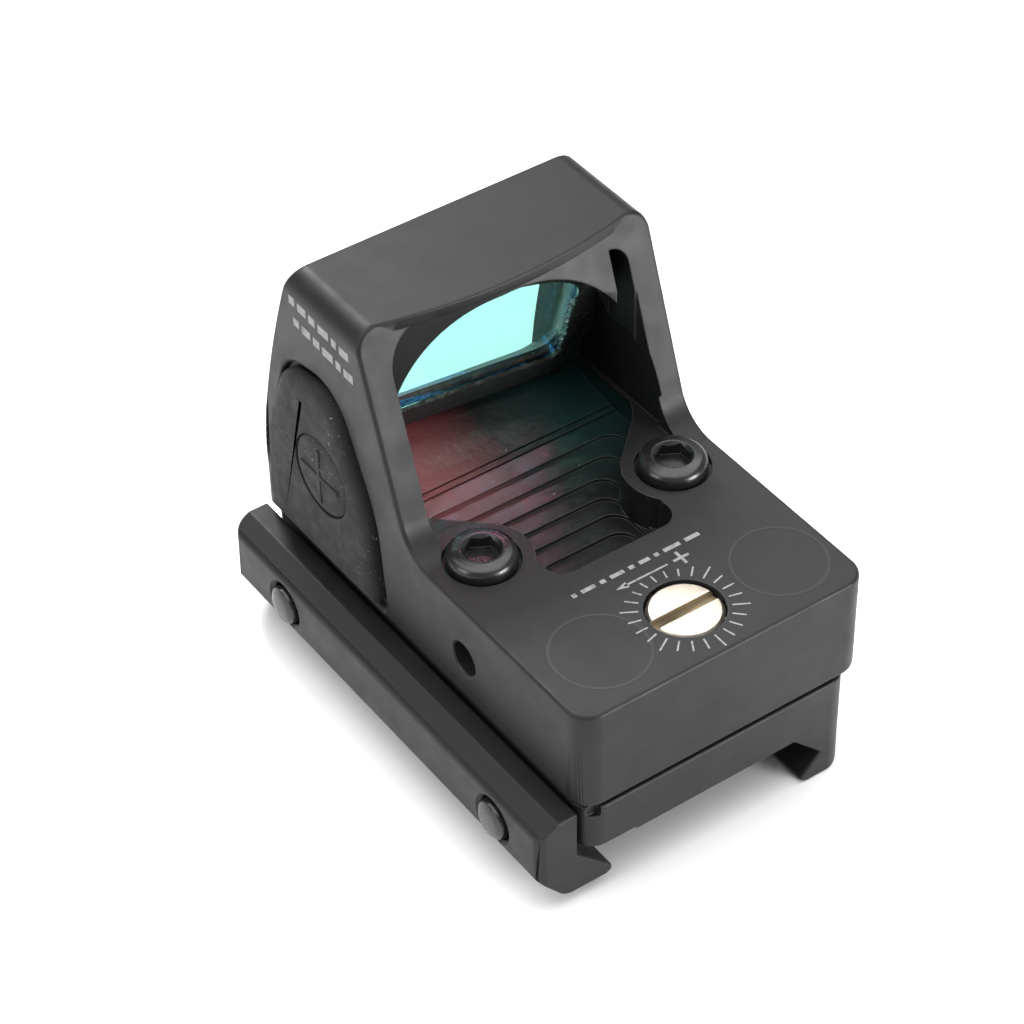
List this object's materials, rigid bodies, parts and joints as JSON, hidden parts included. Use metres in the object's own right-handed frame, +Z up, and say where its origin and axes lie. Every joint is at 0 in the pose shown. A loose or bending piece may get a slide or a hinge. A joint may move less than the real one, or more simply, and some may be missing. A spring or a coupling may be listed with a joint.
{
  "type": "red dot finder",
  "caption": "Open reflex red dot finder with a stepped light well, leaning coated lens, two adjuster screws, side buttons and a rail clamp.",
  "frame": {"origin": "on the flat seat that rests on the rail, under the middle of the housing's tail-to-nose length", "axes": "+Y points at the target along the line of sight, +X to the user's right, +Z up from the rail through the hood"},
  "size_m": [0.0333, 0.0451, 0.0383],
  "materials": {
    "anodised_black": "black anodised, fine satin",
    "black_rubber": "moulded matte rubber",
    "pale_nickel": "turned and plated, pale",
    "black_steel": "black oxide",
    "bright_steel": "plain steel",
    "coated_glass": "polished, dichroic coating",
    "brass": "machined",
    "black_plastic": "moulded",
    "board_green": "solder mask",
    "led_red": "clear red epoxy"
  },
  "bodies": {
    "body": {"housing": "anodised_black", "lens": "coated_glass", "lens_seal": "black_rubber", "elevation_seal": "black_rubber", "windage_seal": "black_rubber", "windage_spring_screw": "bright_steel", "emitter_window": "coated_glass", "circuit_board": "board_green", "driver_chip": "black_plastic", "battery": "bright_steel", "battery_tray": "black_plastic", "battery_contact": "bright_steel", "left_switch": "black_plastic", "right_switch": "black_plastic", "mounting_screw_left": "black_steel", "mounting_screw_right": "black_steel", "left_button_pad": "black_rubber", "right_button_pad": "black_rubber", "mount_base": "anodised_black", "base_gasket": "black_rubber", "front_washer": "black_steel", "rear_washer": "black_steel", "elevation_spring": "bright_steel", "windage_spring": "bright_steel"},
    "elevation_dial": {"elevation_screw": "pale_nickel"},
    "windage_dial": {"windage_screw": "pale_nickel"},
    "emitter_cradle": {"led_cradle": "brass"},
    "emitter_carriage": {"led_carriage": "black_plastic", "led_chip": "led_red"},
    "plus_key": {"plus_button": "black_rubber"},
    "minus_key": {"minus_button": "black_rubber"},
    "front_bolt": {"front_clamp_screw": "black_steel"},
    "rear_bolt": {"rear_clamp_screw": "black_steel"},
    "clamp": {"clamp_bar": "anodised_black"}
  },
  "joints": [
    {"name": "elevation_screw_turn", "type": "hinge", "parent": "body", "child": "elevation_dial", "pos_m": [0, -0.0165, 0.01475], "axis": [0, 0, 1], "range_deg": [-900, 900]},
    {"name": "elevation_slide", "type": "slide", "parent": "body", "child": "emitter_cradle", "axis": [0, 0, 1], "range_m": [-0.000437, 0.000437]},
    {"name": "windage_screw_turn", "type": "hinge", "parent": "body", "child": "windage_dial", "pos_m": [0.014, -0.0065, 0.0094], "axis": [1, 0, 0], "range_deg": [-900, 900]},
    {"name": "windage_slide", "type": "slide", "parent": "emitter_cradle", "child": "emitter_carriage", "axis": [1, 0, 0], "range_m": [-0.000437, 0.000437]},
    {"name": "plus_button_press", "type": "slide", "parent": "body", "child": "plus_key", "axis": [1, 0, 0], "range_m": [0, 0.0004], "stiffness_N_per_m": 4000},
    {"name": "minus_button_press", "type": "slide", "parent": "body", "child": "minus_key", "axis": [-1, 0, 0], "range_m": [0, 0.0004], "stiffness_N_per_m": 4000},
    {"name": "front_clamp_screw_turn", "type": "hinge", "parent": "body", "child": "front_bolt", "pos_m": [0.015, 0.01486, 0.00085], "axis": [1, 0, 0], "range_deg": [0, 1540]},
    {"name": "rear_clamp_screw_turn", "type": "hinge", "parent": "body", "child": "rear_bolt", "pos_m": [0.015, -0.01516, 0.00085], "axis": [1, 0, 0], "range_deg": [0, 1540]},
    {"name": "clamp_slide", "type": "slide", "parent": "body", "child": "clamp", "axis": [-1, 0, 0], "range_m": [0, 0.00299]}
  ],
  "couplings": [
    {"joint": "elevation_screw_turn", "follows": "elevation_slide", "rad_per_m": -35904},
    {"joint": "windage_screw_turn", "follows": "windage_slide", "rad_per_m": -35904},
    {"joint": "front_clamp_screw_turn", "follows": "clamp_slide", "rad_per_m": 8976},
    {"joint": "rear_clamp_screw_turn", "follows": "clamp_slide", "rad_per_m": 8976}
  ]
}
